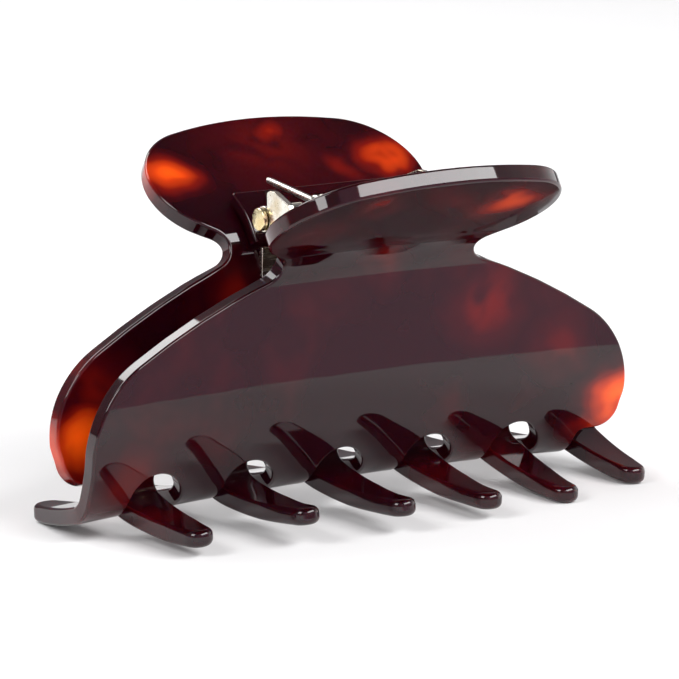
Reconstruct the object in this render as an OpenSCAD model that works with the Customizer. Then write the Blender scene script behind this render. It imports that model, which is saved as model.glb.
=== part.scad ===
// Hair claw: two interlocking bent-sheet jaws on a sprung steel hinge.
// X runs along the clip, -Y is the front jaw, +Z is up. Closed, standing on its tooth tips.

/* [Sheet] */
// thickness of the jaw sheet
sheet_t = 2.9; // [2.7:0.1:3.1]
// widest half width of the jaw body
body_half_w = 53.3; // [52.9:0.1:53.7]
// half width of the neck
neck_half_w = 18.9; // [18.6:0.1:19.2]

/* [Side profile] */
// mid-sheet distance from the centre plane at the foot of the body
foot_out = 3.4; // [3.2:0.1:3.8]
// lean of the body at its foot
foot_lean = 20; // [18:1:21]
// lean of the finger paddle from upright
paddle_lean = 58; // [55:1:60]
// mid radius of the neck bend
neck_bend_r = 10.2; // [10:0.1:10.6]
// mid radius of the bend into the teeth
tooth_bend_r = 4.7; // [4.4:0.1:5]

/* [Teeth] */
// number of teeth on each jaw
tooth_count = 6; // [6:1:6]
// spacing of the teeth
tooth_pitch = 17.93; // [17.9:0.01:18]
// tooth width at the bend
tooth_root_w = 8.0; // [7.8:0.1:8.2]
// tooth width at the rounded tip
tooth_tip_w = 4.9; // [4.5:0.1:5.2]
// reach of the middle teeth past the centre plane
tooth_reach = 24.8; // [24:0.1:26]
// how much shorter a tooth 50 mm off centre is
tooth_taper = 8; // [6:0.5:9]
// turn of the end teeth toward the middle
tooth_fan = 1; // [0:0.5:2]
// rise of the tooth row toward the middle, as a radius
row_r = 893; // [800:1:1000]

/* [Hinge] */
// height of the hinge axis above the ground
pin_z = 49.3; // [49.2:0.1:49.6]
// diameter of the hinge pin
pin_d = 2.2; // [2.1:0.05:2.3]
// outside diameter of the rolled knuckles
knuckle_d = 4.3; // [4.2:0.1:4.5]
// steel thickness of the hinge leaves
leaf_t = 1.0; // [0.9:0.05:1.1]
// thickness of the acetate spring seats
seat_t = 2.4; // [2.2:0.1:2.6]
// half length of the spring seats
seat_half_w = 15.5; // [15:0.1:15.7]
// wire diameter of the torsion spring
wire_d = 1.2; // [1.1:0.05:1.25]
// mean radius of the spring coil
coil_r = 2.5; // [2.4:0.05:2.6]

/* [Hidden] */
$fn = 96;
arc_step = 4;
half_t = sheet_t / 2;
pattern_off = tooth_pitch / 4 - 0.2;
// clearances
pin_clear = 0.05;
face_gap = 0.02;
// body arcs, leaning back to upright and out again to the neck
lower_r = 46.4;
upper_r = 167;
neck_lean = 5.2;
foot_z = 8.806;
tooth_curve_r = 76;
tooth_lean = 72.6;
tooth_end_lean = 94;
paddle_len = 24;

// ---- profile maths, points are [outward, up]
function arc_out(r, a0, a1) = r * (cos(a0) - cos(a1));
function arc_up(r, a0, a1) = r * (sin(a1) - sin(a0));
p_foot = [foot_out, foot_z];
p_mid = p_foot + [arc_out(-lower_r, foot_lean, 0), arc_up(-lower_r, foot_lean, 0)];
p_neck = p_mid + [arc_out(upper_r, 0, neck_lean), arc_up(upper_r, 0, neck_lean)];
p_pad = p_neck + [arc_out(neck_bend_r, neck_lean, paddle_lean), arc_up(neck_bend_r, neck_lean, paddle_lean)];
p_top = p_pad + paddle_len * [sin(paddle_lean), cos(paddle_lean)];
p_bend = p_foot - [arc_out(tooth_bend_r, foot_lean, tooth_lean), arc_up(tooth_bend_r, foot_lean, tooth_lean)];
function steps(a0, a1) = ceil(abs(a1 - a0) / arc_step);
// points offset by d to the outside along an arc that starts at p with lean a0
function run(p, r, a0, a1, d) = [
    for (i = [0 : steps(a0, a1)])
        let (a = a0 + (a1 - a0) * i / steps(a0, a1))
        p + [arc_out(r, a0, a) + d * cos(a), arc_up(r, a0, a) - d * sin(a)]];
// the same going down from p into the teeth
function run_down(p, r, a0, a1, d) = [
    for (i = [0 : steps(a0, a1)])
        let (a = a0 + (a1 - a0) * i / steps(a0, a1))
        p - [arc_out(r, a0, a) - d * cos(a), arc_up(r, a0, a) + d * sin(a)]];
function tail(v) = [for (i = [1 : len(v) - 1]) v[i]];
function reverse(v) = [for (i = [len(v) - 1 : -1 : 0]) v[i]];
function side_line(d) = concat(
    reverse(run_down(p_foot, tooth_bend_r, foot_lean, tooth_lean, d)),
    tail(run(p_foot, -lower_r, foot_lean, 0, d)),
    tail(run(p_mid, upper_r, 0, neck_lean, d)),
    tail(run(p_neck, neck_bend_r, neck_lean, paddle_lean, d)),
    [p_top + d * [cos(paddle_lean), -sin(paddle_lean)]]);

// ---- outline maths, a chain of tangent arcs; heading is measured from up toward +x
function turn_left(h) = [-cos(h), sin(h)];
function chain_arc(p, h, r, sweep) = [
    for (i = [1 : steps(0, sweep)])
        let (s = sign(sweep), a = sweep * i / steps(0, sweep))
        p + s * r * (turn_left(h) - turn_left(h - a))];
function last(v) = v[len(v) - 1];

foot_half_w = 51.6;
foot_heading = 25;
corner_r = 16.9;
corner_sweep = 83.5;
shoulder_r = 129.8;
shoulder_sweep = 11.8;
neck_r = 3.35;
corner_pts = chain_arc([foot_half_w, foot_z - 1.05], foot_heading, corner_r, corner_sweep);
shoulder_heading = foot_heading - corner_sweep;
shoulder_pts = chain_arc(last(corner_pts), shoulder_heading, shoulder_r, shoulder_sweep);
neck_heading = shoulder_heading - shoulder_sweep;
neck_pts = chain_arc(last(shoulder_pts), neck_heading, neck_r, neck_heading);
raw_neck = last(neck_pts)[0];
body_side = concat([[foot_half_w, -5], [foot_half_w, foot_z - 1.05]], corner_pts, shoulder_pts, neck_pts,
                   [[raw_neck, last(neck_pts)[1] + 1.5]]);
// fit the arcs to the asked widths, the neck end exactly
raw_wide = max([for (p = body_side) p[0]]);
function fit_x(x) = neck_half_w + (x - raw_neck) * (body_half_w - neck_half_w) / (raw_wide - raw_neck);
body_half = [for (p = body_side) [fit_x(p[0]), p[1]]];

paddle_start = -5.8;
paddle_neck_r = 3.7;
paddle_neck_sweep = 57.8;
paddle_side_r = 12.9;
paddle_side_sweep = 135;
paddle_neck_pts = chain_arc([neck_half_w, paddle_start], 0, paddle_neck_r, -paddle_neck_sweep);
paddle_side_pts = chain_arc(last(paddle_neck_pts), paddle_neck_sweep, paddle_side_r, paddle_side_sweep);
paddle_top_heading = paddle_neck_sweep - paddle_side_sweep;
paddle_top_r = last(paddle_side_pts)[0] / cos(paddle_top_heading);
paddle_top_pts = chain_arc(last(paddle_side_pts), paddle_top_heading, paddle_top_r, 90 + paddle_top_heading);
paddle_half = concat([[neck_half_w, paddle_start - 3], [neck_half_w, paddle_start]],
                     paddle_neck_pts, paddle_side_pts);
paddle_half_top = [for (i = [0 : len(paddle_top_pts) - 2]) paddle_top_pts[i]];
function mirrored(v) = [for (i = [len(v) - 1 : -1 : 0]) [-v[i][0], v[i][1]]];

// ---- teeth
tooth_half = (tooth_count - 1) / 2;
function tooth_x(k) = -pattern_off + (k - tooth_half) * tooth_pitch;
function tooth_y(k) = tooth_reach - tooth_taper * pow(tooth_x(k) / 50, 2);
function tooth_turn(k) = tooth_fan * tooth_x(k) / 45;
notch_w = tooth_pitch - tooth_root_w;
notch_top_z = 11.2;
root_y = -1.2;
free_end_x = tooth_x(tooth_count - 1) + tooth_pitch / 2;
free_corner_r = 4;
free_edge_z = 8.2;
outer_wall_z = 14.6;

// the bent sheet before its outline is cut, swept on a large radius so the row rises a little
module bent_sheet() {
    translate([-pattern_off, 0, -row_r])
        rotate(120, [-1, -1, -1])
            rotate_extrude(angle = 8.4, start = -4.2, $fn = 1080)
                polygon([for (p = concat(side_line(half_t), reverse(side_line(-half_t))))
                    [row_r + p[1], -p[0]]]);
}

module body_prism() {
    translate([0, root_y, 0])
        rotate([90, 0, 0])
            linear_extrude(height = 30)
                difference() {
                    union() {
                        polygon(concat(body_half, mirrored(body_half)));
                        translate([tooth_x(0) - tooth_root_w / 2, -5])
                            square([tooth_root_w, 5 + outer_wall_z]);
                    }
                    for (k = [0 : tooth_count - 2])
                        translate([tooth_x(k) + tooth_pitch / 2, notch_top_z - notch_w / 2])
                            notch_shape();
                    free_corner();
                }
}

module notch_shape() {
    circle(d = notch_w);
    translate([-notch_w / 2, -20])
        square([notch_w, 20]);
}

// past the last tooth the body runs out in a notch flank and a rounded corner
module free_corner() {
    edge_x = foot_half_w + 1.1;
    left_x = free_end_x - notch_w / 2;
    difference() {
        translate([left_x, -20])
            square([20, 20 + free_edge_z + free_corner_r]);
        translate([left_x - 1, free_edge_z])
            square([edge_x - free_corner_r - left_x + 1, 2 * free_corner_r]);
        translate([edge_x - free_corner_r, free_edge_z + free_corner_r])
            circle(r = free_corner_r);
    }
}

module paddle_prism() {
    translate([0, -p_pad[0], p_pad[1]])
        rotate([paddle_lean, 0, 0])
            rotate([90, 0, 0])
                translate([0, 0, -20])
                    linear_extrude(height = 40)
                        polygon(concat(paddle_half, paddle_half_top, [last(paddle_top_pts)],
                                       mirrored(paddle_half_top), mirrored(paddle_half)));
}

// each tooth is bent by hand: past the common bend it rises or drops to its own tip height
tip_lift = [0, -0.7, 0.9, 2.2, 3.5, 2.3];
lift_run = 4;
lift_arm = 22.5;
inside_gap = 0.03;
function lift_lean(k) = tooth_lean + lift_run / tooth_curve_r * 180 / PI + atan(tip_lift[k] / lift_arm);
function lift_r(k) = lift_run / ((lift_lean(k) - tooth_lean) * PI / 180);
function tooth_end(k) = lift_lean(k) + tooth_end_lean - tooth_lean;
function p_lift(k) = p_bend - [arc_out(lift_r(k), tooth_lean, lift_lean(k)),
                               arc_up(lift_r(k), tooth_lean, lift_lean(k))];
function tooth_line(k, d) = concat(
    reverse(run_down(p_lift(k), tooth_curve_r, lift_lean(k), tooth_end(k), d)),
    tail(reverse(run_down(p_bend, lift_r(k), tooth_lean, lift_lean(k), d))),
    tail(reverse(run_down(p_foot, tooth_bend_r, foot_lean, tooth_lean, d))));

module tooth_prism(k) {
    tip_r = tooth_tip_w / 2;
    root_w = tooth_root_w / 2 - inside_gap;
    run_y = tooth_y(k) - root_y - tip_r;
    lean_x = -run_y * tan(tooth_turn(k));
    translate([tooth_x(k), root_y, -5])
        linear_extrude(height = 30)
            polygon(concat([[-root_w, -0.5], [root_w, -0.5], [root_w, 0]],
                [for (a = [0 : 12 : 180]) [lean_x + tip_r * cos(a), run_y + tip_r * sin(a)]],
                [[-root_w, 0]]));
}

module tooth(k) {
    half = half_t - inside_gap;
    intersection() {
        translate([-pattern_off, 0, -row_r])
            rotate([0, asin((tooth_x(k) + pattern_off) / row_r), 0])
                translate([-tooth_root_w, 0, row_r])
                    rotate([90, 0, 90])
                        linear_extrude(height = 2 * tooth_root_w)
                            polygon([for (p = concat(tooth_line(k, half), reverse(tooth_line(k, -half))))
                                [-p[0], p[1]]]);
        tooth_prism(k);
    }
}

module jaw() {
    difference() {
        union() {
            intersection() {
                bent_sheet();
                union() {
                    body_prism();
                    paddle_prism();
                }
            }
            for (k = [0 : tooth_count - 1])
                tooth(k);
        }
        leaf_bed();
    }
}

module other_side() {
    rotate(180)
        children();
}

// ---- hinge leaf: base plate sunk in the jaw, tabs up to the pin, rolled knuckles and an end cheek
base_low_z = 38.4;
base_high_z = 43.6;
base_low_w = 13.9;
base_high_w = 16.6;
base_out = 5.75;
prong_d = 1.2;
prong_len = 1.0;
prong_rows = [-9, 0, 9];
cheek_end = 17;
outer_knuckle = [-17, -12.3];
inner_knuckle = [9.5, 12.1];
roll_r = (knuckle_d - leaf_t) / 2;

module along_x(x0, x1) {
    translate([x0, 0, 0])
        rotate([90, 0, 90])
            linear_extrude(height = x1 - x0)
                children();
}

module base_plate(extra) {
    translate([0, -base_out + leaf_t, 0])
        rotate([90, 0, 0])
            linear_extrude(height = leaf_t + extra)
                polygon([[-base_low_w, base_low_z], [base_low_w, base_low_z],
                         [base_high_w, base_high_z], [-base_high_w, base_high_z]]);
}

module prongs() {
    for (x = prong_rows)
        translate([x, -base_out + 0.2, (base_low_z + base_high_z) / 2 - 0.6])
            rotate([90, 0, 0])
                cylinder(d = prong_d, h = prong_len + 0.2, $fn = 24);
}

module leaf_bed() {
    base_plate(0);
    prongs();
}

// web line from the base plate to the tangent of the rolled knuckle
web_start = [-base_out + leaf_t / 2, base_high_z - leaf_t / 2];
web_gap = [0, pin_z] - web_start;
web_dist = norm(web_gap);
web_angle = atan2(web_gap[1], web_gap[0]) - asin(roll_r / web_dist);
web_len = sqrt(web_dist * web_dist - roll_r * roll_r);

module web_shape() {
    translate(web_start)
        rotate(web_angle) {
            translate([0, -leaf_t / 2])
                square([web_len, leaf_t]);
            circle(d = leaf_t);
        }
}

module knuckle_shape() {
    translate([0, pin_z])
        circle(d = knuckle_d);
    web_shape();
}

// end cheek: a flat gusset from the base plate past the pin to the paddle root
module cheek_shape() {
    knuckle_shape();
    polygon([web_start, [-1.6, pin_z - 0.6], [-2, pin_z + 0.6], [-1.2, pin_z + 4.3],
             [-3.2, pin_z + 5], [-7.2, pin_z + 3.4], [-8.7, pin_z + 1.6], [-6.6, pin_z - 3.4],
             [-6.0, pin_z - 5.3], [-5.5, base_high_z]]);
    translate([-1.7, pin_z + 4.1])
        circle(r = 0.9, $fn = 32);
}

module leaf() {
    base_plate(0);
    prongs();
    difference() {
        union() {
            along_x(outer_knuckle[0], outer_knuckle[1])
                knuckle_shape();
            along_x(inner_knuckle[0], inner_knuckle[1])
                knuckle_shape();
            along_x(-cheek_end, -cheek_end + leaf_t)
                cheek_shape();
        }
        translate([-30, 0, pin_z])
            rotate([0, 90, 0])
                cylinder(d = pin_d + 2 * pin_clear, h = 60);
    }
}

// ---- spring seat: acetate pad bonded in the neck bend behind the hinge
seat_low_lean = 24;
seat_run = 2.2;
bend_centre = [-(p_neck[0] + neck_bend_r * cos(neck_lean)), p_neck[1] - neck_bend_r * sin(neck_lean)];
seat_in_r = neck_bend_r + half_t + face_gap;

module seat() {
    along_x(-seat_half_w, seat_half_w) {
        intersection() {
            difference() {
                translate(bend_centre)
                    circle(r = seat_in_r + seat_t, $fn = 180);
                translate(bend_centre)
                    circle(r = seat_in_r, $fn = 180);
            }
            translate(bend_centre)
                polygon([[0, 0], 40 * [cos(paddle_lean), sin(paddle_lean)],
                         40 * [cos(seat_low_lean), sin(seat_low_lean)]]);
        }
        translate(bend_centre)
            rotate(paddle_lean)
                translate([seat_in_r, -0.001])
                    square([seat_t, seat_run]);
    }
}

// ---- hinge pin with its formed head, and the set head on the other end
head_d = 3.8;
head_t = 0.9;
pin_half = cheek_end + 0.25;

module hinge_pin() {
    translate([-pin_half, 0, pin_z])
        rotate([0, 90, 0])
            cylinder(d = pin_d, h = 2 * pin_half + head_t * 0.5);
    translate([-pin_half - head_t, 0, pin_z])
        rotate([0, 90, 0])
            cylinder(d = head_d, h = head_t);
}

module pin_head() {
    translate([pin_half, 0, pin_z])
        rotate([0, 90, 0])
            difference() {
                cylinder(d = head_d, h = head_t);
                translate([0, 0, -1])
                    cylinder(d = pin_d, h = 1 + head_t * 0.5);
            }
}

// ---- torsion spring: coil on the pin, one leg up each paddle root
turns = 11;
coil_half = 7.9;
seat_touch = [p_pad[0] + 1.2 * sin(paddle_lean), p_pad[1] + 1.2 * cos(paddle_lean)]
    + (half_t + face_gap + seat_t + wire_d / 2 + 0.05) * [-cos(paddle_lean), sin(paddle_lean)];
leg_over = 2.2;
leg_end = seat_touch + leg_over * [sin(paddle_lean), cos(paddle_lean)];
coil_steps = 20;
wire_sides = 10;
leg_vec = leg_end - [0, pin_z];
leg_dist = norm(leg_vec);
// angle on the coil where a line to the leg end leaves over the top
leave_angle = atan2(leg_vec[1], leg_vec[0]) + acos(coil_r / leg_dist);
total_sweep = 360 * turns + 180 - 2 * leave_angle;
coil_count = ceil(total_sweep / 360 * coil_steps);
// the rear leg leaves at -x going to +y, the front leg mirrors it by half a turn
function coil_point(i) = let (f = i / coil_count, a = leave_angle + total_sweep * f)
    [-coil_half + 2 * coil_half * f, coil_r * cos(a), pin_z + coil_r * sin(a)];
wire_path = concat(
    [[-coil_half, leg_end[0], leg_end[1]]],
    [for (i = [0 : coil_count]) coil_point(i)],
    [[coil_half, -leg_end[0], leg_end[1]]]);
function unit(v) = v / norm(v);
function wire_dir(i) = unit(wire_path[min(i + 1, len(wire_path) - 1)] - wire_path[max(i - 1, 0)]);
function wire_ring(i) = let (d = wire_dir(i), s = unit([1, 0, 0] - d[0] * d), u = cross(d, s))
    [for (j = [0 : wire_sides - 1])
        wire_path[i] + wire_d / 2 * (cos(360 * j / wire_sides) * s + sin(360 * j / wire_sides) * u)];

module spring() {
    n = len(wire_path);
    m = wire_sides;
    pts = [for (i = [0 : n - 1]) each wire_ring(i)];
    walls = [for (i = [0 : n - 2], j = [0 : m - 1])
        [(i + 1) * m + j, (i + 1) * m + (j + 1) % m, i * m + (j + 1) % m, i * m + j]];
    polyhedron(points = pts, faces = concat([[for (j = [0 : m - 1]) j]], walls,
        [[for (j = [m - 1 : -1 : 0]) (n - 1) * m + j]]), convexity = 12);
}

module front_jaw() { color([0.24, 0.05, 0.05]) jaw(); }
module rear_jaw() { color([0.24, 0.05, 0.05]) other_side() jaw(); }
module front_seat() { color([0.3, 0.07, 0.06]) seat(); }
module rear_seat() { color([0.3, 0.07, 0.06]) other_side() seat(); }
module front_leaf() { color([0.82, 0.8, 0.74]) leaf(); }
module rear_leaf() { color([0.82, 0.8, 0.74]) other_side() leaf(); }

front_jaw();
rear_jaw();
front_seat();
rear_seat();
front_leaf();
rear_leaf();
color([0.85, 0.8, 0.62]) hinge_pin();
color([0.85, 0.8, 0.62]) pin_head();
color([0.75, 0.74, 0.7]) spring();
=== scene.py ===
"""Hair claw in dark tortoiseshell acetate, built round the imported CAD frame."""
import math

import bpy
import numpy as np
from mathutils import Matrix, Vector
from mathutils.geometry import delaunay_2d_cdt


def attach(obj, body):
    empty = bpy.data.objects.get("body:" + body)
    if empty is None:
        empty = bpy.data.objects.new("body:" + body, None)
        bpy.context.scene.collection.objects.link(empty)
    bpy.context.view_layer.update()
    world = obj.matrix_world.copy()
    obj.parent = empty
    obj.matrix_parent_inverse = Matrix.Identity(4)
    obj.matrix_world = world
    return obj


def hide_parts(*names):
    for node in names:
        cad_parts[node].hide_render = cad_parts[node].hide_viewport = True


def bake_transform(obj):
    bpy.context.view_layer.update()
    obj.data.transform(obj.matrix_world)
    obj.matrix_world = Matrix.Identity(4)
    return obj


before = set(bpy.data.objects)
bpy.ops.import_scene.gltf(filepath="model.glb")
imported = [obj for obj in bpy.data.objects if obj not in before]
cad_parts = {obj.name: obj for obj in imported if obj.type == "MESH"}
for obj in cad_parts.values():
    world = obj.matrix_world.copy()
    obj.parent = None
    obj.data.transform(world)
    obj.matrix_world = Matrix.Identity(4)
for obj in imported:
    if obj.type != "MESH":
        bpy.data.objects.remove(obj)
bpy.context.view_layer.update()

MM = 0.001
RAD = math.pi / 180
REAR, FRONT = "rear_half", "front_half"

# Sizes of the CAD part, in millimetres and degrees.
SHEET_T = 2.9
HALF_T = SHEET_T / 2
ROW_R = 893.0
PITCH = 17.93
PATTERN_OFF = PITCH / 4 - 0.2
TEETH = 6
FOOT_OUT, FOOT_Z, FOOT_LEAN = 3.4, 8.806, 20.0
NECK_LEAN, PADDLE_LEAN = 5.2, 58.0
LOWER_R, UPPER_R, NECK_R, TOOTH_BEND_R, TOOTH_CURVE_R = 46.4, 167.0, 10.2, 4.7, 76.0
TOOTH_LEAN, TOOTH_END_LEAN = 72.6, 94.0
# how far each hand-bent tooth tip sits above the common curve, and the run and arm of that extra bend
TIP_LIFT = (0.0, -0.7, 0.9, 2.2, 3.5, 2.3)
LIFT_RUN, LIFT_ARM = 4.0, 22.5
PADDLE_LEN = 24.0
PIN_Z = 49.3
PIN_D = 2.2
HEAD_D, HEAD_T = 3.8, 0.9
CHEEK_END = 17.0

EDGE_ROUND = 0.5
# the tooth tips are tumbled rounder than the rest of the cut edge
TIP_EXTRA_ROUND = 0.65
TIP_ROUND_START, TIP_ROUND_RUN = -17.0, 6.0
OUTLINE_STEP = 0.42


# ---------------------------------------------------------------- side profile
class Arc:
    """A stretch of the mid-sheet line, s along it, bending with radius r (lean grows with s if r > 0)."""

    def __init__(self, s0, s1, s_ref, out, up, lean, r):
        self.s0, self.s1, self.s_ref = s0, s1, s_ref
        self.out, self.up, self.lean, self.r = out, up, lean, r

    def at(self, s):
        a = self.lean * RAD
        if self.r is None:
            d = s - self.s_ref
            return self.out + d * math.sin(a), self.up + d * math.cos(a), a
        b = a + (s - self.s_ref) / self.r
        return (self.out + self.r * (math.cos(a) - math.cos(b)),
                self.up + self.r * (math.sin(b) - math.sin(a)), b)


def arc_length(r, a0, a1):
    return abs(r * (a1 - a0) * RAD)


def body_arcs():
    """The mid-sheet from the foot of the body up to the end of the paddle."""
    arcs = []
    s, out, up, lean = 0.0, FOOT_OUT, FOOT_Z, FOOT_LEAN
    for r, end in ((-LOWER_R, 0.0), (UPPER_R, NECK_LEAN), (NECK_R, PADDLE_LEAN)):
        length = arc_length(r, lean, end)
        arc = Arc(s, s + length, s, out, up, lean, r)
        arcs.append(arc)
        s += length
        out, up, lean = arc.at(s)[0], arc.at(s)[1], end
    arcs.append(Arc(s, s + PADDLE_LEN, s, out, up, lean, None))
    return arcs


def tooth_arcs(k):
    """The mid-sheet from the foot of the body down to the tip of tooth k."""
    lifted = TOOTH_LEAN + LIFT_RUN / TOOTH_CURVE_R / RAD + math.atan(TIP_LIFT[k] / LIFT_ARM) / RAD
    lift_r = LIFT_RUN / ((lifted - TOOTH_LEAN) * RAD)
    end_lean = lifted + TOOTH_END_LEAN - TOOTH_LEAN
    arcs = []
    s, out, up, lean = 0.0, FOOT_OUT, FOOT_Z, FOOT_LEAN
    for r, end in ((-TOOTH_BEND_R, TOOTH_LEAN), (-lift_r, lifted), (-TOOTH_CURVE_R, end_lean)):
        length = arc_length(r, lean, end)
        arc = Arc(s - length, s, s, out, up, lean, r)
        arcs.insert(0, arc)
        s -= length
        out, up, lean = arc.at(s)[0], arc.at(s)[1], end
    return arcs


BODY_ARCS = body_arcs()
TOOTH_ARCS = [tooth_arcs(k) for k in range(TEETH)]
S_PADDLE = BODY_ARCS[-1].s0


def profile_at(s, k=0):
    """Out, up and lean of the mid-sheet at s, below the foot those of tooth k."""
    arcs = BODY_ARCS if s > 0 else TOOTH_ARCS[k]
    for arc in arcs:
        if s <= arc.s1:
            return arc.at(s)
    return arcs[-1].at(s)


def solve_s(value, which, low, high, k=0):
    """The s between low and high at which the profile's out (0) or up (1) has that value."""
    rising = profile_at(high, k)[which] > profile_at(low, k)[which]
    for _ in range(40):
        mid = (low + high) / 2
        if (profile_at(mid, k)[which] < value) == rising:
            low = mid
        else:
            high = mid
    return (low + high) / 2


def flat_height(x, z):
    """Height on the profile of a point at height z on the row, which rises toward its middle."""
    return math.hypot(ROW_R + z, x + PATTERN_OFF) - ROW_R


def s_at_height(x, z):
    return solve_s(flat_height(x, z), 1, -6.0, S_PADDLE + 6)


def s_at_reach(y, k):
    return solve_s(-y, 0, TOOTH_ARCS[k][0].s0 - 2, 0.0, k)


def nearest_tooth(u):
    return min(TEETH - 1, max(0, round((u + PATTERN_OFF) / PITCH + (TEETH - 1) / 2)))


def place(u, s, n):
    """Row-frame point and frame (along, up, outward normal) of the front jaw, n out from the mid-sheet."""
    out, up, lean = profile_at(s, nearest_tooth(u))
    c, d = math.cos(lean), math.sin(lean)
    out += n * c
    up -= n * d
    slope = (u + PATTERN_OFF) / (ROW_R + up)
    z = (ROW_R + up) * math.sqrt(1 - slope * slope) - ROW_R
    point = Vector((u, -out, z)) * MM
    tilt = math.sqrt(1 - slope * slope)
    along = Vector((tilt, 0, -slope))
    rise = Vector((c * slope, -d, c * tilt))
    normal = Vector((-d * slope, -c, -d * tilt))
    return point, along, rise, normal


# ---------------------------------------------------------------- outline of the developed jaw
def turn_left(h):
    return np.array([-math.cos(h * RAD), math.sin(h * RAD)])


def chain_arc(points, heading, r, sweep, step=3.0):
    """Adds a tangent arc to points; heading is degrees from up toward +x. Returns the new heading."""
    start = np.array(points[-1])
    count = max(2, math.ceil(abs(sweep) / step))
    sign = 1 if sweep > 0 else -1
    for i in range(1, count + 1):
        a = sweep * i / count
        points.append(tuple(start + sign * r * (turn_left(heading) - turn_left(heading - a))))
    return heading - sweep


BODY_HALF_W, NECK_HALF_W, FOOT_HALF_W, FOOT_HEADING = 53.3, 18.9, 51.6, 25.0
CORNER_R, CORNER_SWEEP = 16.9, 83.5
SHOULDER_R, SHOULDER_SWEEP = 129.8, 11.8
NECK_FILLET_R = 3.35
PADDLE_START = -5.8
PADDLE_NECK_R, PADDLE_NECK_SWEEP = 3.7, 57.8
PADDLE_SIDE_R, PADDLE_SIDE_SWEEP = 12.9, 135.0
NOTCH_TOP_Z = 11.2
TOOTH_ROOT_W, TOOTH_TIP_W = 8.0, 4.9
TOOTH_REACH, TOOTH_TAPER, TOOTH_FAN = 24.8, 8.0, 1.0
ROOT_Y = -1.2
FREE_CORNER_R, FREE_EDGE_Z = 4.0, 8.2
OUTER_WALL_Z = 14.6


def tooth_x(k):
    return -PATTERN_OFF + (k - (TEETH - 1) / 2) * PITCH


def body_side():
    """Right half of the body in the front view, from the foot up to the neck."""
    points = [(FOOT_HALF_W, FOOT_Z - 1.05)]
    heading = chain_arc(points, FOOT_HEADING, CORNER_R, CORNER_SWEEP)
    heading = chain_arc(points, heading, SHOULDER_R, SHOULDER_SWEEP)
    chain_arc(points, heading, NECK_FILLET_R, heading)
    neck = points[-1][0]
    wide = max(p[0] for p in points)
    scale = (BODY_HALF_W - NECK_HALF_W) / (wide - neck)
    return [(NECK_HALF_W + (x - neck) * scale, z) for x, z in points]


def paddle_side():
    """Right half of the finger paddle in its own plane, from the neck to the middle of its top."""
    points = [(NECK_HALF_W, PADDLE_START)]
    heading = chain_arc(points, 0.0, PADDLE_NECK_R, -PADDLE_NECK_SWEEP)
    heading = chain_arc(points, heading, PADDLE_SIDE_R, PADDLE_SIDE_SWEEP)
    chain_arc(points, heading, points[-1][0] / math.cos(heading * RAD), 90 + heading)
    return points


def tooth_outline(k):
    """Left wall, tip and right wall of tooth k, developed."""
    tip_r = TOOTH_TIP_W / 2
    run = TOOTH_REACH - TOOTH_TAPER * (tooth_x(k) / 50) ** 2 - ROOT_Y - tip_r
    lean = -run * math.tan(TOOTH_FAN * tooth_x(k) / 45 * RAD)
    plan = []
    for side in (-1, 1):
        wall = []
        for i in range(1, 12):
            t = i / 12
            half = TOOTH_ROOT_W / 2 + (tip_r - TOOTH_ROOT_W / 2) * t
            wall.append((lean * t + side * half, run * t))
        if side > 0:
            plan += [(lean - tip_r * math.cos(b * RAD), run + tip_r * math.sin(b * RAD))
                     for b in range(0, 181, 9)]
            wall.reverse()
        plan += wall
    return [(tooth_x(k) + x, s_at_reach(ROOT_Y + y, k)) for x, y in plan]


def notch_arch(k):
    """The round opening between teeth k and k + 1, developed."""
    r = (PITCH - TOOTH_ROOT_W) / 2
    middle = tooth_x(k) + PITCH / 2
    points = []
    for b in range(171, 8, -6):
        x, z = middle + r * math.cos(b * RAD), NOTCH_TOP_Z - r + r * math.sin(b * RAD)
        points.append((x, s_at_height(x, z)))
    return points


def jaw_outline():
    """Outline of the flat jaw, anticlockwise as seen from outside: x to the right, s up."""
    points = []
    for k in range(TEETH):
        points += tooth_outline(k)
        if k < TEETH - 1:
            points += notch_arch(k)
    # past the last tooth: flank, fillet, short lower edge and rounded corner
    flank = tooth_x(TEETH - 1) + TOOTH_ROOT_W / 2
    fillet = 1.5
    for b in range(180, 89, -9):
        x = flank + fillet + fillet * math.cos(b * RAD)
        z = FREE_EDGE_Z - fillet + fillet * math.sin(b * RAD)
        points.append((x, s_at_height(x, z)))
    corner_x = FOOT_HALF_W + 1.1 - FREE_CORNER_R
    corner_z = FREE_EDGE_Z + FREE_CORNER_R
    for b in range(-90, 1, 9):
        x, z = corner_x + FREE_CORNER_R * math.cos(b * RAD), corner_z + FREE_CORNER_R * math.sin(b * RAD)
        points.append((x, s_at_height(x, z)))
    side = body_side()
    paddle = [(x, S_PADDLE + q) for x, q in paddle_side()]
    join_s = paddle[0][1]
    right = [(x, s_at_height(x, z)) for x, z in side if z > corner_z + 1.5]
    points += [p for p in right if p[1] < join_s - 0.2]
    points += [p for p in paddle if p[1] > join_s + 0.5]
    points += [(-x, s) for x, s in reversed(paddle[:-1]) if s > join_s + 0.5]
    left = [(-x, s_at_height(-x, z)) for x, z in reversed(side) if z > OUTER_WALL_Z]
    points += [p for p in left if p[1] < join_s - 0.2]
    # the other flank runs straight on into the outer wall of tooth 0
    outer_wall = tooth_x(0) - TOOTH_ROOT_W / 2
    points += [(outer_wall, s) for s in (5.0, 3.0, 1.0, -1.0, -3.0)]
    return np.array(points)


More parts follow.
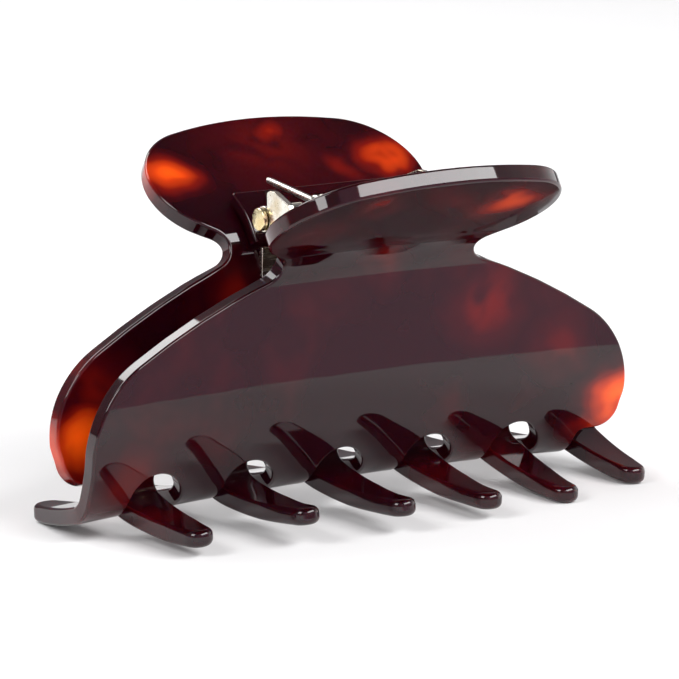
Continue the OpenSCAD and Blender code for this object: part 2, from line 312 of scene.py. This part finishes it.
def resample(points, step, passes):
    """The closed outline with even spacing, its corners eased by a few smoothing passes."""
    closed = np.vstack([points, points[:1]])
    seg = np.hypot(*np.diff(closed, axis=0).T)
    dist = np.concatenate([[0], np.cumsum(seg)])
    count = int(round(dist[-1] / step))
    at = np.linspace(0, dist[-1], count, endpoint=False)
    out = np.column_stack([np.interp(at, dist, closed[:, i]) for i in (0, 1)])
    for _ in range(passes):
        out = (np.roll(out, 1, 0) + 2 * out + np.roll(out, -1, 0)) / 4
    return out


def inward(loop):
    """Unit normals of an anticlockwise loop, pointing inside."""
    t = np.roll(loop, -1, 0) - np.roll(loop, 1, 0)
    t /= np.linalg.norm(t, axis=1)[:, None]
    return np.column_stack([-t[:, 1], t[:, 0]])


def inside(points, loop):
    """Which points lie inside the loop."""
    x, y = points[:, 0], points[:, 1]
    hit = np.zeros(len(points), bool)
    x0, y0 = loop[-1]
    for x1, y1 in loop:
        if y1 != y0:
            crosses = ((y1 > y) != (y0 > y)) & (x < (x0 - x1) * (y - y1) / (y0 - y1) + x1)
            hit ^= crosses
        x0, y0 = x1, y1
    return hit


def fill(loop, rows, cols, gap):
    """Triangles over the loop's inside, with a lattice of rows and columns kept gap away from it."""
    grid = np.array([(u, s) for s in rows for u in cols])
    grid = grid[inside(grid, loop)]
    keep = np.ones(len(grid), bool)
    for start in range(0, len(grid), 400):
        block = grid[start:start + 400]
        apart = block[:, None, :] - loop[None, :, :]
        nearest = np.min(np.hypot(apart[:, :, 0], apart[:, :, 1]), axis=1)
        keep[start:start + 400] = nearest > gap
    verts = [Vector(p) for p in np.vstack([loop, grid[keep]])]
    n = len(loop)
    edges = [(i, (i + 1) % n) for i in range(n)]
    out = delaunay_2d_cdt(verts, edges, [], 1, 1e-6)
    return [tuple(v) for v in out[0]], [tuple(f) for f in out[2]], out[3]


def lattice_rows():
    """Values of s, closer together where the sheet bends."""
    rows = []
    arcs = TOOTH_ARCS[0] + BODY_ARCS
    for arc in arcs:
        bend = abs(arc.r) if arc.r else 1e9
        step = 0.4 if bend < 6 else 0.7 if bend < 12 else 1.3
        count = max(1, round((arc.s1 - arc.s0) / step))
        rows += [arc.s0 + (arc.s1 - arc.s0) * i / count for i in range(count)]
    return rows + [arcs[-1].s1]


def add_to_scene(name, data):
    obj = bpy.data.objects.new(name, data)
    bpy.context.scene.collection.objects.link(obj)
    return obj


def new_mesh(name, verts, faces, normals):
    """A smooth object with its own vertex normals."""
    mesh = bpy.data.meshes.new(name)
    mesh.from_pydata(verts, [], faces)
    mesh.validate()
    mesh.shade_smooth()
    mesh.normals_split_custom_set_from_vertices(normals)
    return add_to_scene(name, mesh)


def sharp_mesh(name, verts, faces, angle):
    """A smooth object with edges over that angle, in degrees, kept sharp."""
    mesh = bpy.data.meshes.new(name)
    mesh.from_pydata(verts, [], faces)
    mesh.shade_smooth()
    mesh.set_sharp_from_angle(angle=angle * RAD)
    return add_to_scene(name, mesh)


def jaw_data():
    """Vertices, normals and faces of the front jaw: two skins, rounded and polished at the cut edge."""
    outline = resample(jaw_outline(), OUTLINE_STEP, 2)
    normal = inward(outline)
    tip_share = np.clip((TIP_ROUND_START - outline[:, 1]) / TIP_ROUND_RUN, 0, 1)
    edge = EDGE_ROUND + TIP_EXTRA_ROUND * tip_share
    steps = 6
    count = len(outline)
    verts, normals, faces = [], [], []

    def add(u, s, n, flat_dir, flat_share, side):
        point, along, rise, out = place(u, s, n)
        direction = out * side * math.sqrt(max(0.0, 1 - flat_share ** 2))
        direction += (along * flat_dir[0] + rise * flat_dir[1]) * flat_share
        verts.append(point)
        normals.append(direction.normalized())

    rings = []
    for side in (1, -1):
        angles = [90 * i / steps for i in range(steps, -1, -1)]
        if side < 0:
            angles.reverse()
        for angle in angles:
            a = angle * RAD
            rings.append(len(verts))
            for p, w, r in zip(outline, normal, edge):
                q = p + r * (1 - math.cos(a)) * w
                n = side * (HALF_T - r * (1 - math.sin(a)))
                add(q[0], q[1], n, -w, math.cos(a), side)
    for a, b in zip(rings[:-1], rings[1:]):
        faces += [(a + i, b + i, b + (i + 1) % count, a + (i + 1) % count) for i in range(count)]
    cap = outline + edge[:, None] * normal
    cols = np.arange(-53.0, 53.01, 1.25)
    flat, triangles, origin = fill(cap, lattice_rows(), cols, 0.45)
    for side, ring in ((1, rings[0]), (-1, rings[-1])):
        index = []
        for (u, s), src in zip(flat, origin):
            on_loop = [o for o in src if o < count]
            if on_loop:
                index.append(ring + on_loop[0])
            else:
                index.append(len(verts))
                add(u, s, side * HALF_T, (0, 0), 0.0, side)
        for tri in triangles:
            ids = tuple(index[i] for i in tri)
            faces.append(ids if side > 0 else ids[::-1])
    return verts, normals, faces


HALF_TURN = Matrix.Rotation(math.pi, 4, "Z")


def build_jaws(materials):
    verts, normals, faces = jaw_data()
    for name, body, turn in (("front", FRONT, Matrix.Identity(4)), ("rear", REAR, HALF_TURN)):
        jaw = new_mesh(name + "_jaw_shell", [turn @ v for v in verts], faces,
                       [turn.to_3x3() @ n for n in normals])
        jaw.data.materials.append(materials[name])
        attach(jaw, body)
        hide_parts(name + "_jaw")


# ---------------------------------------------------------------- bars: a side outline drawn out along X
def round_corners(points, radius, step=15.0):
    """The closed outline with each corner replaced by an arc of about that radius."""
    out = []
    n = len(points)
    for i in range(n):
        p = np.array(points[i], float)
        a, b = np.array(points[i - 1]) - p, np.array(points[(i + 1) % n]) - p
        la, lb = np.linalg.norm(a), np.linalg.norm(b)
        a, b = a / la, b / lb
        turn = math.pi - math.acos(max(-1.0, min(1.0, float(a @ b))))
        if turn < 0.05:
            out.append(p)
            continue
        cut = min(radius * math.tan(turn / 2), la * 0.45, lb * 0.45)
        r = cut / math.tan(turn / 2)
        middle = p + (a + b) / np.linalg.norm(a + b) * (r / math.cos(turn / 2))
        start, end = p + a * cut - middle, p + b * cut - middle
        count = max(2, math.ceil(turn / RAD / step))
        for j in range(count + 1):
            t = j / count
            w = start * math.sin((1 - t) * turn) + end * math.sin(t * turn)
            out.append(middle + w / math.sin(turn))
    return np.array(out)


def bar(name, outline, x0, x1, rim, steps=4):
    """A solid with that (y, z) outline from x0 to x1, its end rims rounded by rim. All in millimetres."""
    loop = np.array(outline, float)
    area = np.sum(loop[:, 0] * np.roll(loop[:, 1], -1) - np.roll(loop[:, 0], -1) * loop[:, 1])
    if area < 0:
        loop = loop[::-1]
    normal = inward(loop)
    count = len(loop)
    verts, normals, faces, rings = [], [], [], []
    for end, sign in ((x0, -1), (x1, 1)):
        angles = [90 * i / steps for i in range(steps, -1, -1)]
        if sign > 0:
            angles.reverse()
        for angle in angles:
            a = angle * RAD
            rings.append(len(verts))
            x = end - sign * rim * (1 - math.sin(a))
            for p, w in zip(loop, normal):
                q = p + rim * (1 - math.cos(a)) * w
                verts.append(Vector((x, q[0], q[1])) * MM)
                normals.append(Vector((sign * math.sin(a), -w[0] * math.cos(a), -w[1] * math.cos(a))))
    for a, b in zip(rings[:-1], rings[1:]):
        faces += [(a + i, a + (i + 1) % count, b + (i + 1) % count, b + i) for i in range(count)]
    faces.append(tuple(rings[0] + i for i in range(count - 1, -1, -1)))
    faces.append(tuple(rings[-1] + i for i in range(count)))
    return new_mesh(name, verts, faces, normals)


def join(name, parts):
    """One object of several, kept as separate shells with their own normals."""
    bpy.ops.object.select_all(action="DESELECT")
    for part in parts:
        part.select_set(True)
    bpy.context.view_layer.objects.active = parts[0]
    bpy.ops.object.join()
    parts[0].name = name
    parts[0].data.name = name
    return parts[0]


def turned(obj, matrix):
    """A mesh turned in its own data, with its custom normals."""
    mesh = obj.data
    normals = [matrix.to_3x3() @ Vector(n.vector) for n in mesh.corner_normals]
    mesh.transform(matrix)
    mesh.normals_split_custom_set(normals)
    return obj


# ---------------------------------------------------------------- spring seats
SEAT_T, SEAT_HALF_W, SEAT_LOW_LEAN, SEAT_RUN = 2.4, 15.5, 24.0, 2.2
FACE_GAP = 0.02


def bend_centre():
    out, up, lean = BODY_ARCS[-2].at(BODY_ARCS[-2].s0)
    return np.array([-(out + NECK_R * math.cos(lean)), up - NECK_R * math.sin(lean)])


def on_circle(centre, r, a):
    """The point at angle a, in radians, on a circle."""
    return centre + r * np.array([math.cos(a), math.sin(a)])


def seat_outline():
    c = bend_centre()
    r0 = NECK_R + HALF_T + FACE_GAP
    leans = np.linspace(SEAT_LOW_LEAN, PADDLE_LEAN, 14) * RAD
    inner = [on_circle(c, r0, a) for a in leans]
    outer = [on_circle(c, r0 + SEAT_T, a) for a in reversed(leans)]
    up = np.array([-math.sin(PADDLE_LEAN * RAD), math.cos(PADDLE_LEAN * RAD)]) * SEAT_RUN
    return inner + [inner[-1] + up, outer[0] + up] + outer


def build_seats(materials):
    for name, body, turn in (("front", FRONT, Matrix.Identity(4)), ("rear", REAR, HALF_TURN)):
        seat = bar(name + "_seat_pad", round_corners(seat_outline(), 0.5), -SEAT_HALF_W, SEAT_HALF_W, 0.5)
        turned(seat, turn)
        seat.data.materials.append(materials[name])
        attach(seat, body)
        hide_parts(name + "_seat")


# ---------------------------------------------------------------- hinge leaves
LEAF_T = 1.0
KNUCKLE_D = 4.3
BASE_LOW_Z, BASE_HIGH_Z, BASE_OUT = 38.4, 43.6, 5.75
BASE_LOW_W = 13.9
OUTER_KNUCKLE, INNER_KNUCKLE = (-17.0, -12.3), (9.5, 12.1)
# the rolled end stops short of the web by SEAM millimetres and then SEAM_ANGLE radians
SEAM, SEAM_ANGLE = 0.28, 0.55
ROLL_STEPS = 44
EYE_SIDES = 48


def strip_outline(path, t):
    """Closed outline of a strip of thickness t along a path of (y, z) points."""
    path = np.array(path)
    d = np.gradient(path, axis=0)
    d /= np.linalg.norm(d, axis=1)[:, None]
    side = np.column_stack([-d[:, 1], d[:, 0]]) * t / 2
    return list(path + side) + list((path - side)[::-1])


def rolled_path():
    """Up the web from the base plate, then once round the pin, ending just short of the web."""
    roll_r = (KNUCKLE_D - LEAF_T) / 2
    start = np.array([-BASE_OUT + LEAF_T / 2, BASE_HIGH_Z - LEAF_T / 2])
    gap = np.array([0, PIN_Z]) - start
    reach = math.hypot(*gap)
    angle = math.atan2(gap[1], gap[0]) - math.asin(roll_r / reach)
    run = math.sqrt(reach * reach - roll_r * roll_r)
    direction = np.array([math.cos(angle), math.sin(angle)])
    path = [start + direction * run * i / 6 for i in range(6)]
    first = angle - math.pi / 2
    sweep = 2 * math.pi - SEAM / roll_r - SEAM_ANGLE
    pin = np.array([0, PIN_Z])
    path += [on_circle(pin, roll_r, first + sweep * i / ROLL_STEPS) for i in range(ROLL_STEPS + 1)]
    return path


def cheek_outline():
    z = PIN_Z
    return [(-5.25, BASE_HIGH_Z - 0.6), (-2.0, z - 2.0), (-1.3, z - 1.2), (-1.0, z + 3.9), (-1.1, z + 4.6),
            (-1.8, z + 4.9), (-3.2, z + 4.9), (-7.2, z + 3.4), (-8.6, z + 1.6), (-6.6, z - 3.4),
            (-6.0, z - 5.3), (-5.7, BASE_HIGH_Z - 0.5)]


def build_leaves(material):
    for name, body, turn in (("front", FRONT, Matrix.Identity(4)), ("rear", REAR, HALF_TURN)):
        parts = []
        rolled = strip_outline(rolled_path(), LEAF_T)
        for i, (x0, x1) in enumerate((OUTER_KNUCKLE, INNER_KNUCKLE)):
            if i == 0:
                x0 += LEAF_T + 0.05
            parts.append(bar(name + "_knuckle_" + str(i), rolled, x0, x1, 0.12, 3))
        cheek = round_corners(cheek_outline(), 0.5)
        parts.append(bar(name + "_cheek", cheek, -CHEEK_END, -CHEEK_END + LEAF_T, 0.12, 3))
        pin = np.array([0, PIN_Z])
        eye = [on_circle(pin, KNUCKLE_D / 2, 2 * math.pi * i / EYE_SIDES) for i in range(EYE_SIDES)]
        parts.append(bar(name + "_eye", eye, -CHEEK_END - 0.02, -CHEEK_END + LEAF_T, 0.15, 3))
        plate = round_corners([(-BASE_OUT, BASE_LOW_Z + 0.1), (-BASE_OUT + LEAF_T, BASE_LOW_Z + 0.1),
                               (-BASE_OUT + LEAF_T, BASE_HIGH_Z), (-BASE_OUT, BASE_HIGH_Z)], 0.15)
        parts.append(bar(name + "_base", plate, -BASE_LOW_W, BASE_LOW_W, 0.15, 3))
        leaf = join(name + "_leaf_steel", parts)
        turned(leaf, turn)
        leaf.data.materials.append(material)
        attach(leaf, body)
        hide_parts(name + "_leaf")


# ---------------------------------------------------------------- pin, head and spring
def lathe_x(name, profile, sides=48):
    """A solid of revolution about the pin axis from (x, radius) points in millimetres."""
    verts, faces = [], []
    for x, r in profile:
        for j in range(sides):
            a = 2 * math.pi * j / sides
            verts.append(Vector((x, r * math.cos(a), PIN_Z + r * math.sin(a))) * MM)
    for i in range(len(profile) - 1):
        a, b = i * sides, (i + 1) * sides
        faces += [(a + j, a + (j + 1) % sides, b + (j + 1) % sides, b + j) for j in range(sides)]
    faces.append(tuple(range(sides - 1, -1, -1)))
    last = (len(profile) - 1) * sides
    faces.append(tuple(last + j for j in range(sides)))
    return sharp_mesh(name, verts, faces, 35)


def head_profile(x_face, direction):
    """A low riveted head: flat seat at x_face, rounded rim and a slightly domed top."""
    r = HEAD_D / 2
    rim = [(x_face, PIN_D / 2), (x_face, r - 0.08), (x_face + direction * 0.08, r)]
    for b in range(0, 91, 10):
        x = HEAD_T - 0.42 + 0.3 * math.sin(b * RAD)
        rim.append((x_face + direction * x, r - 0.35 * (1 - math.cos(b * RAD))))
    for i in range(1, 9):
        t = i / 9
        x = HEAD_T - 0.12 + 0.12 * math.sin(t * math.pi / 2)
        rim.append((x_face + direction * x, (r - 0.35) * (1 - t)))
    return rim


def build_pin(material):
    end = CHEEK_END + 0.25
    left = [(x, r) for x, r in reversed(head_profile(-end, -1)) if r > 0.05]
    shaft = [(-end, PIN_D / 2), (0.0, PIN_D / 2), (end + 0.42, PIN_D / 2 - 0.02)]
    pin = lathe_x("hinge_pin_brass", left[:-1] + shaft)
    right = [(x, r) for x, r in head_profile(end, 1) if r > 0.05]
    head = lathe_x("pin_set_head", right)
    for obj, node in ((pin, "hinge_pin"), (head, "pin_head")):
        obj.data.materials.append(material)
        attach(obj, REAR)
        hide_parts(node)


WIRE_D, COIL_R, COIL_HALF, TURNS = 1.2, 2.5, 7.9, 11
LEG_OVER = 2.2


def spring_path():
    """Rear leg, coil and front leg, as the CAD spring's centre line."""
    out, up, _ = BODY_ARCS[-1].at(S_PADDLE)
    lean = PADDLE_LEAN * RAD
    along = np.array([math.sin(lean), math.cos(lean)])
    off = HALF_T + FACE_GAP + SEAT_T + WIRE_D / 2 + 0.05
    touch = np.array([out, up]) + 1.2 * along + off * np.array([-math.cos(lean), math.sin(lean)])
    tip = touch + LEG_OVER * along
    v = tip - np.array([0, PIN_Z])
    leave = math.atan2(v[1], v[0]) + math.acos(COIL_R / math.hypot(*v))
    sweep = 2 * math.pi * TURNS + math.pi - 2 * leave
    per_turn = 40
    count = math.ceil(sweep / (2 * math.pi) * per_turn)
    path = []
    start = np.array([-COIL_HALF, COIL_R * math.cos(leave), PIN_Z + COIL_R * math.sin(leave)])
    rear_tip = np.array([-COIL_HALF, tip[0], tip[1]])
    path += [rear_tip + (start - rear_tip) * i / 12 for i in range(12)]
    for i in range(count + 1):
        f = i / count
        a = leave + sweep * f
        x = -COIL_HALF + 2 * COIL_HALF * f
        path.append(np.array([x, COIL_R * math.cos(a), PIN_Z + COIL_R * math.sin(a)]))
    front_tip = np.array([COIL_HALF, -tip[0], tip[1]])
    end = path[-1]
    path += [end + (front_tip - end) * i / 12 for i in range(1, 13)]
    return np.array(path)


def build_spring(material):
    path = spring_path()
    tangent = np.gradient(path, axis=0)
    tangent /= np.linalg.norm(tangent, axis=1)[:, None]
    sides = 16
    end = len(path) - 1
    # (path index, share of the wire radius, shift along the wire in millimetres), with bevelled ends
    rings = [(0, 0.55, -0.08), (0, 0.86, 0.0)]
    rings += [(i, 1.0, 0.0) for i in range(1, end)]
    rings += [(end, 0.86, 0.0), (end, 0.55, 0.08)]
    verts, faces = [], []
    for i, share, shift in rings:
        t = tangent[i]
        side = np.array([1.0, 0, 0]) - t[0] * t
        side /= np.linalg.norm(side)
        up = np.cross(t, side)
        for j in range(sides):
            a = 2 * math.pi * j / sides
            w = math.cos(a) * side + math.sin(a) * up
            verts.append(Vector(path[i] + t * shift + w * share * WIRE_D / 2) * MM)
    for n in range(len(rings) - 1):
        a, b = n * sides, (n + 1) * sides
        faces += [(a + j, a + (j + 1) % sides, b + (j + 1) % sides, b + j) for j in range(sides)]
    faces.append(tuple(range(sides - 1, -1, -1)))
    last = (len(rings) - 1) * sides
    faces.append(tuple(last + j for j in range(sides)))
    spring = sharp_mesh("torsion_spring", verts, faces, 50)
    spring.data.materials.append(material)
    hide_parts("spring")
    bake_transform(spring)


# ---------------------------------------------------------------- materials
class Nodes:
    """Short calls for building a material's nodes."""

    def __init__(self, name):
        self.material = bpy.data.materials.new(name)
        self.material.use_nodes = True
        self.tree = self.material.node_tree
        self.shader = self.tree.nodes["Principled BSDF"]

    def add(self, kind, **settings):
        node = self.tree.nodes.new(kind)
        for key, value in settings.items():
            setattr(node, key, value)
        return node

    def link(self, a, b):
        self.tree.links.new(a, b)

    def math(self, operation, a, b=0.0):
        node = self.add("ShaderNodeMath", operation=operation)
        for i, value in enumerate((a, b)):
            if isinstance(value, (int, float)):
                node.inputs[i].default_value = value
            else:
                self.link(value, node.inputs[i])
        return node.outputs[0]

    def noise(self, vector, scale, detail=2.0, roughness=0.5):
        node = self.add("ShaderNodeTexNoise")
        node.inputs["Scale"].default_value = scale
        node.inputs["Detail"].default_value = detail
        node.inputs["Roughness"].default_value = roughness
        self.link(vector, node.inputs["Vector"])
        return node

    def fade(self, value, low, high, top=1.0):
        """Smooth step from 0 at low to top at high."""
        node = self.add("ShaderNodeMapRange", interpolation_type="SMOOTHSTEP")
        node.inputs["From Min"].default_value = low
        node.inputs["From Max"].default_value = high
        node.inputs["To Min"].default_value = 0.0
        node.inputs["To Max"].default_value = top
        self.link(value, node.inputs["Value"])
        return node.outputs[0]

    def ramp(self, value, stops):
        node = self.add("ShaderNodeValToRGB")
        ramp = node.color_ramp
        while len(ramp.elements) < len(stops):
            ramp.elements.new(0.5)
        for element, (at, colour) in zip(ramp.elements, stops):
            element.position = at
            element.color = (*colour, 1)
        self.link(value, node.inputs["Fac"])
        return node.outputs["Color"]

    def bump(self, height, strength, distance):
        node = self.add("ShaderNodeBump")
        node.inputs["Strength"].default_value = strength
        node.inputs["Distance"].default_value = distance
        self.link(height, node.inputs["Height"])
        self.link(node.outputs["Normal"], self.shader.inputs["Normal"])


# Amber clouds in the acetate, painted brighter than their own colour and made to glow as painted light let
# through the sheet: (x, y, z), radius in millimetres, strength.
REAR_CLOUDS_AND_GLOW = [
    ((-21.5, 20.0, 54.4), 6.5, 0.85),
    ((1.8, 27.0, 59.0), 5.0, 0.5),
    ((0.0, 24.0, 57.0), 17.0, 0.3),
    ((20.3, 19.6, 54.4), 7.0, 0.8),
    ((11.5, 18.4, 53.6), 5.0, 0.4),
    ((-48.5, 5.0, 14.5), 7.5, 1.0),
    ((-47.0, 6.0, 24.0), 8.0, 0.4),
    ((-19.2, 6.0, 37.4), 6.0, 0.4),
    ((25.0, 7.0, 30.0), 10.0, 0.55),
    ((45.0, 6.0, 18.0), 9.0, 0.45),
    ((0.0, 7.5, 22.0), 9.0, 0.35),
    ((-28.0, 6.5, 17.0), 8.0, 0.4),
]
FRONT_CLOUDS_AND_GLOW = [
    ((50.5, -7.0, 13.5), 8.0, 0.95),
    ((46.5, -5.0, 8.5), 6.0, 0.6),
    ((22.5, -7.6, 33.5), 9.0, 0.4),
    ((38.0, -7.6, 25.0), 8.0, 0.3),
    ((0.9, -8.0, 42.9), 6.0, 0.32),
    ((15.5, -23.5, 53.5), 7.5, 0.75),
    ((-18.0, -18.0, 50.0), 6.0, 0.3),
    ((-12.0, -26.0, 56.0), 6.0, 0.42),
    ((-46.0, -6.0, 10.0), 8.0, 0.3),
]


def acetate(name, clouds_and_glow):
    """Polished tortoiseshell acetate: near-black maroon with soft red and amber clouds in its depth, the
    clouds painted brighter than their own amber and glowing, as painted light let through the sheet.
    """
    m = Nodes(name)
    place_in = m.add("ShaderNodeTexCoord").outputs["Object"]
    warp = m.noise(place_in, 75.0, 2.0)
    shift = m.add("ShaderNodeVectorMath", operation="MULTIPLY_ADD")
    m.link(warp.outputs["Color"], shift.inputs[0])
    shift.inputs[1].default_value = (0.008, 0.008, 0.008)
    lowered = m.add("ShaderNodeVectorMath", operation="SUBTRACT")
    m.link(place_in, lowered.inputs[0])
    lowered.inputs[1].default_value = (0.004, 0.004, 0.004)
    m.link(lowered.outputs["Vector"], shift.inputs[2])
    warped = shift.outputs["Vector"]
    total = None
    for centre, radius, strength in clouds_and_glow:
        gap = m.add("ShaderNodeVectorMath", operation="DISTANCE")
        m.link(warped, gap.inputs[0])
        gap.inputs[1].default_value = tuple(c * MM for c in centre)
        cloud = m.fade(gap.outputs["Value"], radius * 1.35 * MM, radius * 0.05 * MM, strength)
        total = cloud if total is None else m.math("MAXIMUM", total, cloud)
    mottle = m.fade(m.noise(warped, 55.0, 3.0).outputs["Fac"], 0.48, 0.74, 0.22)
    breakup = m.fade(m.noise(warped, 130.0, 1.5).outputs["Fac"], 0.1, 0.55)
    level = m.math("MAXIMUM", m.math("MULTIPLY", total, breakup), mottle)
    # the top stops are the clouds' own amber pushed brighter: painted light standing in for light let
    # through the sheet
    colour = m.ramp(level, [(0.0, (0.011, 0.0005, 0.0022)), (0.22, (0.036, 0.0010, 0.0026)),
                            (0.45, (0.14, 0.0045, 0.0022)), (0.7, (0.46, 0.034, 0.003)),
                            (1.0, (0.90, 0.115, 0.004))])
    m.link(colour, m.shader.inputs["Base Color"])
    # a faint glow stands in for light let through from behind
    m.link(colour, m.shader.inputs["Emission Color"])
    s = m.shader.inputs
    s["Emission Strength"].default_value = 0.22
    s["Roughness"].default_value = 0.045
    s["IOR"].default_value = 1.49
    s["Subsurface Weight"].default_value = 1.0
    s["Subsurface Radius"].default_value = (1.0, 0.22, 0.08)
    s["Subsurface Scale"].default_value = 0.0025
    # hand polish leaves the faces very slightly wavy
    m.bump(m.noise(place_in, 95.0, 1.0).outputs["Fac"], 0.35, 0.00016)
    return m.material


def metal(name, colour, dark, roughness, grain_scale):
    """Bright stamped or drawn metal with fine lines along X and faint tarnish."""
    m = Nodes(name)
    place_in = m.add("ShaderNodeTexCoord").outputs["Object"]
    stretch = m.add("ShaderNodeVectorMath", operation="MULTIPLY")
    m.link(place_in, stretch.inputs[0])
    stretch.inputs[1].default_value = (0.08, 1.0, 1.0)
    lines = m.noise(stretch.outputs["Vector"], grain_scale, 3.0)
    stain = m.fade(m.noise(place_in, 420.0, 4.0).outputs["Fac"], 0.4, 0.75)
    colour_out = m.ramp(stain, [(0.0, colour), (1.0, dark)])
    m.link(colour_out, m.shader.inputs["Base Color"])
    m.shader.inputs["Metallic"].default_value = 1.0
    rough = m.math("ADD", m.fade(lines.outputs["Fac"], 0.3, 0.7, 0.14), roughness)
    m.link(rough, m.shader.inputs["Roughness"])
    m.bump(lines.outputs["Fac"], 0.3, 0.00003)
    return m.material


def pale_floor():
    m = Nodes("floor_paper")
    place_in = m.add("ShaderNodeTexCoord").outputs["Object"]
    shade = m.noise(place_in, 8.0, 2.0)
    colour = m.ramp(shade.outputs["Fac"], [(0.0, (0.86, 0.855, 0.86)), (1.0, (0.88, 0.875, 0.88))])
    m.link(colour, m.shader.inputs["Base Color"])
    m.shader.inputs["Roughness"].default_value = 0.9
    m.shader.inputs["Specular IOR Level"].default_value = 0.1
    return m.material


# ---------------------------------------------------------------- stage, lights and camera
CAM_AZIMUTH, CAM_ELEVATION = 34.66, 11.68
CAM_DISTANCE = 0.68855
CAM_AIM = Vector((-0.00166, 0.0, 0.02773))
CAM_LENS = 221.03
CAM_ROLL = 0.63


def plane(name, material, size, matrix):
    """A flat stage rectangle of that size, placed by matrix."""
    w, h = size[0] / 2, size[1] / 2
    mesh = bpy.data.meshes.new(name)
    mesh.from_pydata([(-w, -h, 0), (w, -h, 0), (w, h, 0), (-w, h, 0)], [], [(0, 1, 2, 3)])
    mesh.materials.append(material)
    obj = add_to_scene(name, mesh)
    obj.matrix_world = matrix
    return obj


def view_axes():
    """Right, up and back of the camera before its roll."""
    a, e = CAM_AZIMUTH * RAD, CAM_ELEVATION * RAD
    back = Vector((-math.sin(a) * math.cos(e), -math.cos(a) * math.cos(e), math.sin(e)))
    right = Vector((math.cos(a), -math.sin(a), 0))
    return right, back.cross(right), back


def build_camera():
    right, up, back = view_axes()
    r = CAM_ROLL * RAD
    x = right * math.cos(r) + up * math.sin(r)
    y = up * math.cos(r) - right * math.sin(r)
    data = bpy.data.cameras.new("camera")
    data.lens = CAM_LENS
    data.sensor_width = 36.0
    data.clip_start, data.clip_end = 0.05, 20.0
    cam = add_to_scene("camera", data)
    turn = Matrix((x, y, back)).transposed().to_4x4()
    cam.matrix_world = Matrix.Translation(CAM_AIM + back * CAM_DISTANCE) @ turn
    bpy.context.scene.camera = cam


def softbox(name, direction, distance, size, power):
    """A rectangular area light that faces the clip from that direction."""
    data = bpy.data.lights.new(name, "AREA")
    data.shape = "RECTANGLE"
    data.size, data.size_y = size
    data.energy = power
    obj = add_to_scene(name, data)
    d = Vector(direction).normalized()
    obj.location = d * distance + Vector((0, 0, 0.03))
    obj.rotation_euler = d.to_track_quat("Z", "Y").to_euler()


def card_material(name, colour):
    card = Nodes(name)
    card.shader.inputs["Base Color"].default_value = (*colour, 1)
    card.shader.inputs["Roughness"].default_value = 1.0
    card.shader.inputs["Specular IOR Level"].default_value = 0.0
    return card.material


FLOOR_SIZE = 6
TABLE_EDGE, ROOM_DEPTH = 0.082, 1.6
WALL_BACK, WALL_LEFT = 1.5, 1.7


def build_stage():
    """The floor, and cards seen only in reflections: the dim room in front, behind and to the left."""
    plane("floor", pale_floor(), (FLOOR_SIZE, FLOOR_SIZE), Matrix.Identity(4))
    upright = Matrix.Rotation(math.pi / 2, 4, "X")
    sideways = Matrix.Rotation(math.pi / 2, 4, "Z")
    front = card_material("front_card", (0.62, 0.42, 0.50))
    grey = card_material("grey_card", (0.22, 0.20, 0.21))
    low_at = Matrix.Translation((0, -TABLE_EDGE - ROOM_DEPTH / 2, 0.0015))
    front_at = Matrix.Translation((0, -TABLE_EDGE - ROOM_DEPTH, 1.1))
    back_at = Matrix.Translation((0, WALL_BACK, 1.5))
    left_at = Matrix.Translation((-WALL_LEFT, 0, 1.5))
    cards = [
        plane("card_low", front, (FLOOR_SIZE, ROOM_DEPTH), low_at),
        plane("card_front", front, (FLOOR_SIZE, 2.2), front_at @ upright),
        plane("card_back", grey, (FLOOR_SIZE, 3), back_at @ upright),
        plane("card_left", grey, (FLOOR_SIZE, 3), left_at @ sideways @ upright),
    ]
    for card in cards:
        card.visible_camera = False
        card.visible_diffuse = False
        card.visible_shadow = False
        card.visible_transmission = False


def build_world():
    """Even light from the horizon that fades to a dark zenith."""
    world = bpy.data.worlds.new("studio")
    bpy.context.scene.world = world
    world.use_nodes = True
    tree = world.node_tree
    background = tree.nodes["Background"]
    coord = tree.nodes.new("ShaderNodeTexCoord")
    split = tree.nodes.new("ShaderNodeSeparateXYZ")
    tree.links.new(coord.outputs["Generated"], split.inputs[0])
    ramp = tree.nodes.new("ShaderNodeValToRGB")
    ramp.color_ramp.elements[0].position = 0.15
    ramp.color_ramp.elements[0].color = (1, 1, 1, 1)
    ramp.color_ramp.elements[1].position = 0.7
    ramp.color_ramp.elements[1].color = (0.03, 0.03, 0.032, 1)
    tree.links.new(split.outputs["Z"], ramp.inputs["Fac"])
    tree.links.new(ramp.outputs["Color"], background.inputs["Color"])
    background.inputs["Strength"].default_value = 1.6


def build_lights():
    softbox("front_box", (0.33, -0.62, 0.70), 1.1, (1.1, 0.35), 12)
    softbox("left_box", (-0.80, -0.15, 0.60), 1.1, (0.45, 0.45), 5.5)
    softbox("back_box", (-0.25, 0.75, 0.75), 1.3, (0.9, 0.5), 9.5)


def main():
    scene = bpy.context.scene
    scene.view_settings.view_transform = "Standard"
    build_camera()
    build_world()
    build_stage()
    build_lights()
    shells = {"front": acetate("acetate_front", FRONT_CLOUDS_AND_GLOW), "rear": acetate("acetate_rear", REAR_CLOUDS_AND_GLOW)}
    build_jaws(shells)
    build_seats(shells)
    build_leaves(metal("leaf_steel", (0.83, 0.80, 0.72), (0.62, 0.52, 0.36), 0.16, 2600.0))
    build_pin(metal("pin_brass", (0.90, 0.79, 0.50), (0.70, 0.55, 0.28), 0.2, 1500.0))
    build_spring(metal("spring_steel", (0.72, 0.70, 0.64), (0.45, 0.40, 0.32), 0.2, 3000.0))


main()
